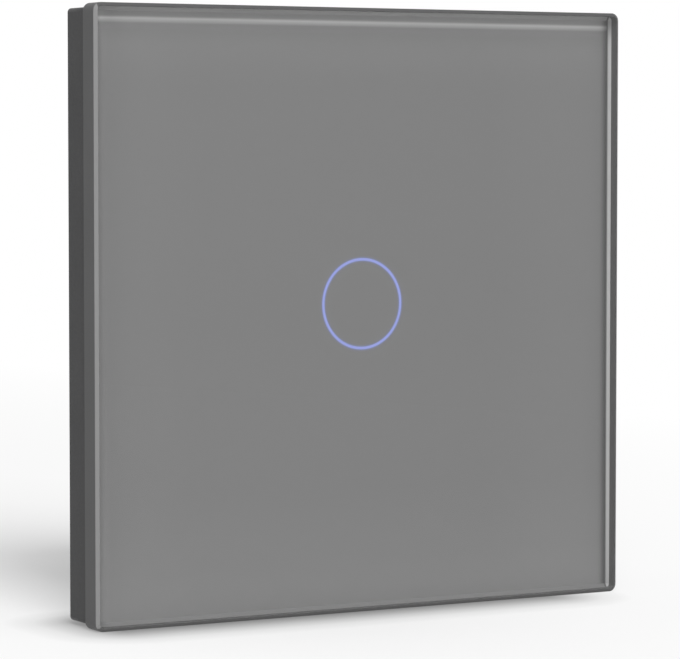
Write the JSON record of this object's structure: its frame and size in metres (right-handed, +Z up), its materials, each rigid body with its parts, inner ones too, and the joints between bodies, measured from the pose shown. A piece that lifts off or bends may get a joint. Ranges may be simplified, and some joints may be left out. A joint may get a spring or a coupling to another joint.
{
  "type": "touch light switch",
  "caption": "Square glass-fronted touch light switch with a glowing ring, base plate, steel bracket and boxed relay module with rising-clamp terminals.",
  "frame": {"origin": "middle of the two box-screw slots, in the wall plane behind the base plate", "axes": "+X to the right seen from the room, +Z up, the glass faces -Y and the module lies at +Y"},
  "size_m": [0.08, 0.0345, 0.08],
  "materials": {
    "clear_glass": "polished flat glass",
    "grey_print": "smooth opaque coat behind the glass",
    "clear_adhesive": "cured adhesive",
    "tray_paint": "fine matt dark grey coat on drawn sheet",
    "milky_plastic": "translucent",
    "tape": "adhesive tape",
    "dark_plastic": "fine moulded texture",
    "carrier_plastic": "moulded",
    "zinc_steel": "zinc-plated sheet",
    "screw_steel": "plated",
    "housing_plastic": "moulded, self-extinguishing",
    "cover_plastic": "moulded",
    "clear_plastic": "clear moulding",
    "spring_steel": "tinned spring wire",
    "blue_led": "resin package",
    "red_led": "resin package",
    "board_laminate": "green lacquered laminate",
    "package_resin": "moulded resin",
    "chip_body": "chip parts",
    "header_plastic": "moulded",
    "tinned_brass": "tinned",
    "spacer_plastic": "nylon",
    "film_case": "boxed",
    "can_sleeve": "sleeved aluminium can",
    "fuse_case": "boxed",
    "varistor_coat": "epoxy coat",
    "ferrite": "ferrite",
    "copper_wire": "enamelled copper",
    "relay_cap": "moulded",
    "relay_plastic": "moulded",
    "soft_iron": "nickel-plated iron",
    "contact_bronze": "spring bronze",
    "block_plastic": "moulded",
    "clamp_steel": "yellow-passivated steel"
  },
  "bodies": {
    "switch_body": {"base_plate": "dark_plastic", "blue_leds": "blue_led", "board_header": "header_plastic", "board_spacers": "spacer_plastic", "bridge_rectifier": "package_resin", "chip_parts": "chip_body", "electrolytic_capacitor": "can_sleeve", "film_capacitor": "film_case", "fixed_contact": "contact_bronze", "frame_screws": "screw_steel", "fuse": "fuse_case", "header_pins": "tinned_brass", "inductor_core": "ferrite", "inductor_winding": "copper_wire", "light_guide": "clear_plastic", "module_cover": "cover_plastic", "power_board": "board_laminate", "power_ic": "package_resin", "rear_housing": "housing_plastic", "red_leds": "red_led", "relay_base": "relay_plastic", "relay_bobbin": "relay_plastic", "relay_case": "relay_cap", "relay_core": "soft_iron", "relay_pins": "tinned_brass", "relay_winding": "copper_wire", "relay_yoke": "soft_iron", "return_spring": "spring_steel", "support_bracket": "zinc_steel", "terminal_block": "block_plastic", "terminal_tabs": "tinned_brass", "touch_board": "board_laminate", "touch_ic": "package_resin", "touch_spring": "spring_steel", "varistor": "varistor_coat"},
    "glass_panel": {"back_print": "grey_print", "carrier_tape": "tape", "front_glass": "clear_glass", "glass_bead": "clear_adhesive", "panel_carrier": "carrier_plastic", "panel_tray": "tray_paint", "ring_diffuser": "milky_plastic"},
    "armature": {"contact_spring": "contact_bronze", "relay_armature": "soft_iron"},
    "clamp_screw_1": {"terminal_screw_1": "screw_steel"},
    "clamp_screw_2": {"terminal_screw_2": "screw_steel"},
    "clamp_screw_3": {"terminal_screw_3": "screw_steel"},
    "clamp_cage_1": {"terminal_cage_1": "clamp_steel"},
    "clamp_cage_2": {"terminal_cage_2": "clamp_steel"},
    "clamp_cage_3": {"terminal_cage_3": "clamp_steel"}
  },
  "joints": [
    {"name": "panel_pull", "type": "slide", "parent": "switch_body", "child": "glass_panel", "axis": [0, -1, 0], "range_m": [0, 0.025]},
    {"name": "relay_swing", "type": "hinge", "parent": "switch_body", "child": "armature", "pos_m": [-0.0072, 0.01995, 0.0117], "axis": [0, 0, -1], "range_deg": [0, 2.3], "stiffness_Nm_per_rad": 0.01, "springref_deg": -2.86},
    {"name": "screw_turn_1", "type": "hinge", "parent": "switch_body", "child": "clamp_screw_1", "pos_m": [-0.009, 0.0178, -0.0205], "axis": [0, 0, 1], "range_deg": [-360, 1800]},
    {"name": "cage_lift_1", "type": "slide", "parent": "switch_body", "child": "clamp_cage_1", "axis": [0, 0, -1], "range_m": [0, 0.002]},
    {"name": "screw_turn_2", "type": "hinge", "parent": "switch_body", "child": "clamp_screw_2", "pos_m": [0, 0.0178, -0.0205], "axis": [0, 0, 1], "range_deg": [-360, 1800]},
    {"name": "cage_lift_2", "type": "slide", "parent": "switch_body", "child": "clamp_cage_2", "axis": [0, 0, -1], "range_m": [0, 0.002]},
    {"name": "screw_turn_3", "type": "hinge", "parent": "switch_body", "child": "clamp_screw_3", "pos_m": [0.009, 0.0178, -0.0205], "axis": [0, 0, 1], "range_deg": [-360, 1800]},
    {"name": "cage_lift_3", "type": "slide", "parent": "switch_body", "child": "clamp_cage_3", "axis": [0, 0, -1], "range_m": [0, 0.002]}
  ],
  "couplings": [
    {"joint": "screw_turn_1", "follows": "cage_lift_1", "rad_per_m": 12566},
    {"joint": "screw_turn_2", "follows": "cage_lift_2", "rad_per_m": 12566},
    {"joint": "screw_turn_3", "follows": "cage_lift_3", "rad_per_m": 12566}
  ]
}
